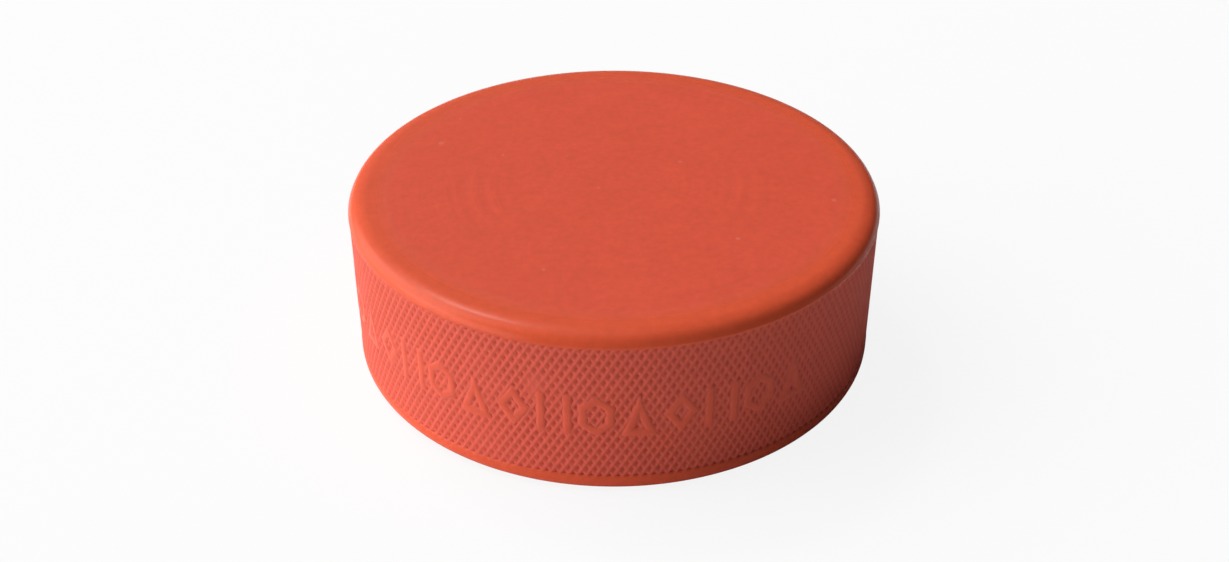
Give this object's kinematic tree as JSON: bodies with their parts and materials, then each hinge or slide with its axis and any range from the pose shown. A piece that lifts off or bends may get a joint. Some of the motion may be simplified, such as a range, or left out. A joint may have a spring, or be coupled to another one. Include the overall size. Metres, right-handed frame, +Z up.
{
  "type": "hockey puck",
  "caption": "Ice hockey puck: a solid moulded rubber disc with flat faces, rounded shoulders, a knurled wall and a row of raised plain marks.",
  "frame": {"origin": "centre of the lower flat face", "axes": "+Z up along the disc's axis; -Y is the front; the row of raised marks runs from -121 to +39 degrees about it, counted towards +X"},
  "size_m": [0.0762, 0.0762, 0.0254],
  "materials": {
    "orange_rubber": "satin vulcanised rubber, matt flat faces and smooth shoulders"
  },
  "bodies": {
    "root": {"puck_body": "orange_rubber"}
  },
  "joints": []
}
